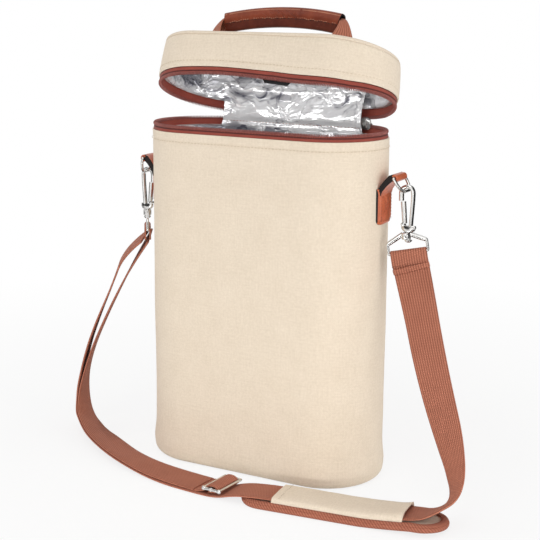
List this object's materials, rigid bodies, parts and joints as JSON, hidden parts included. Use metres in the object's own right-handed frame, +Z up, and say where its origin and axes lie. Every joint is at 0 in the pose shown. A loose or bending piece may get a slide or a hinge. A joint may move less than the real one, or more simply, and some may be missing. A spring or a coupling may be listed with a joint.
{
  "type": "bottle carrier",
  "caption": "Tall insulated canvas bottle carrier with a zipped padded lid, leather-wrapped carry handle, end tabs with snap hooks, and a padded shoulder strap.",
  "frame": {"origin": "centre of the underside of the bag's base", "axes": "+Z up, -Y towards the front of the bag, +X towards the right end seen from the front"},
  "size_m": [0.4056, 0.1681, 0.3859],
  "materials": {
    "canvas": "matte woven",
    "foam": "matte closed-cell foam",
    "board": "matte board",
    "foil": "crinkled metallic foil",
    "zip_tape": "matte woven",
    "zip_coil": "satin nylon",
    "label": "matte woven",
    "metal": "polished nickel plate",
    "webbing": "ribbed webbing",
    "binding": "ribbed tape",
    "leather": "smooth, slightly glossy"
  },
  "bodies": {
    "bag": {"body_canvas": "canvas", "base_panel": "canvas", "base_board": "board", "base_foam": "foam", "body_foam": "foam", "body_lining": "foil", "bottle_divider": "board", "body_zip_tape": "zip_tape", "body_zip_coil": "zip_coil", "body_hinge_panel": "canvas", "right_tab": "leather", "left_tab": "leather", "right_strap_frame": "metal", "left_strap_frame": "metal", "shoulder_strap": "webbing", "strap_return": "webbing", "right_strap_loop": "webbing", "left_strap_loop": "webbing"},
    "lid": {"lid_gusset": "canvas", "lid_top": "canvas", "lid_foam": "foam", "lid_top_foam": "foam", "lid_lining": "foil", "lid_zip_tape": "zip_tape", "lid_zip_coil": "zip_coil", "lid_hinge_panel": "canvas", "lid_label": "label", "left_handle_foot": "webbing", "right_handle_foot": "webbing"},
    "handle": {"handle_webbing": "webbing", "handle_grip": "leather"},
    "zip_slider": {"zip_slider": "metal"},
    "zip_pull": {"zip_pull": "metal"},
    "right_ring": {"right_ring": "metal"},
    "left_ring": {"left_ring": "metal"},
    "right_hook": {"right_hook": "metal"},
    "left_hook": {"left_hook": "metal"},
    "right_gate": {"right_gate": "metal"},
    "left_gate": {"left_gate": "metal"},
    "adjuster": {"slide_adjuster": "metal", "strap_end_loop": "webbing"},
    "pad": {"pad_core": "canvas", "pad_binding": "binding", "pad_sleeve": "canvas"}
  },
  "joints": [
    {"name": "lid_hinge", "type": "hinge", "parent": "bag", "child": "lid", "pos_m": [0, 0.0485, 0.2926], "axis": [-1, 0, 0], "range_deg": [-22.2, 88]},
    {"name": "handle_fold", "type": "hinge", "parent": "lid", "child": "handle", "pos_m": [0, 0.02305, 0.35861], "axis": [1, 0, 0], "range_deg": [-55, 55]},
    {"name": "zip_slider_run", "type": "hinge", "parent": "bag", "child": "zip_slider", "pos_m": [0.0575, 0, 0.2926], "axis": [0, 0, -1], "range_deg": [0, 150]},
    {"name": "zip_pull_swing", "type": "hinge", "parent": "zip_slider", "child": "zip_pull", "pos_m": [0.07109, 0.04739, 0.289], "axis": [0.9613, -0.2756, 0], "range_deg": [0, 60]},
    {"name": "right_ring_rock", "type": "hinge", "parent": "bag", "child": "right_ring", "pos_m": [0.118, 0, 0.254], "axis": [0, 1, 0], "range_deg": [-4, 4]},
    {"name": "right_hook_swivel", "type": "hinge", "parent": "bag", "child": "right_hook", "pos_m": [0.1277, 0, 0.21022], "axis": [0, 0, 1], "range_deg": [-12, 12]},
    {"name": "right_gate_open", "type": "hinge", "parent": "right_hook", "child": "right_gate", "pos_m": [0.1231, 0, 0.21922], "axis": [0, 1, 0], "range_deg": [0, 14], "stiffness_Nm_per_rad": 0.02, "springref_deg": -11.46},
    {"name": "left_ring_rock", "type": "hinge", "parent": "bag", "child": "left_ring", "pos_m": [-0.118, 0, 0.254], "axis": [0, 1, 0], "range_deg": [-4, 4]},
    {"name": "left_hook_swivel", "type": "hinge", "parent": "bag", "child": "left_hook", "pos_m": [-0.12151, 0, 0.20693], "axis": [0, 0, 1], "range_deg": [-12, 12]},
    {"name": "left_gate_open", "type": "hinge", "parent": "left_hook", "child": "left_gate", "pos_m": [-0.11691, 0, 0.21593], "axis": [0, -1, 0], "range_deg": [0, 14], "stiffness_Nm_per_rad": 0.02, "springref_deg": -11.46},
    {"name": "adjuster_slide", "type": "slide", "parent": "bag", "child": "adjuster", "axis": [0.9969, -0.0785, 0], "range_m": [-0.025, 0], "deforming": ["strap_return"]},
    {"name": "pad_slide", "type": "slide", "parent": "bag", "child": "pad", "axis": [0.9947, 0.1028, 0], "range_m": [0, 0.007]}
  ]
}
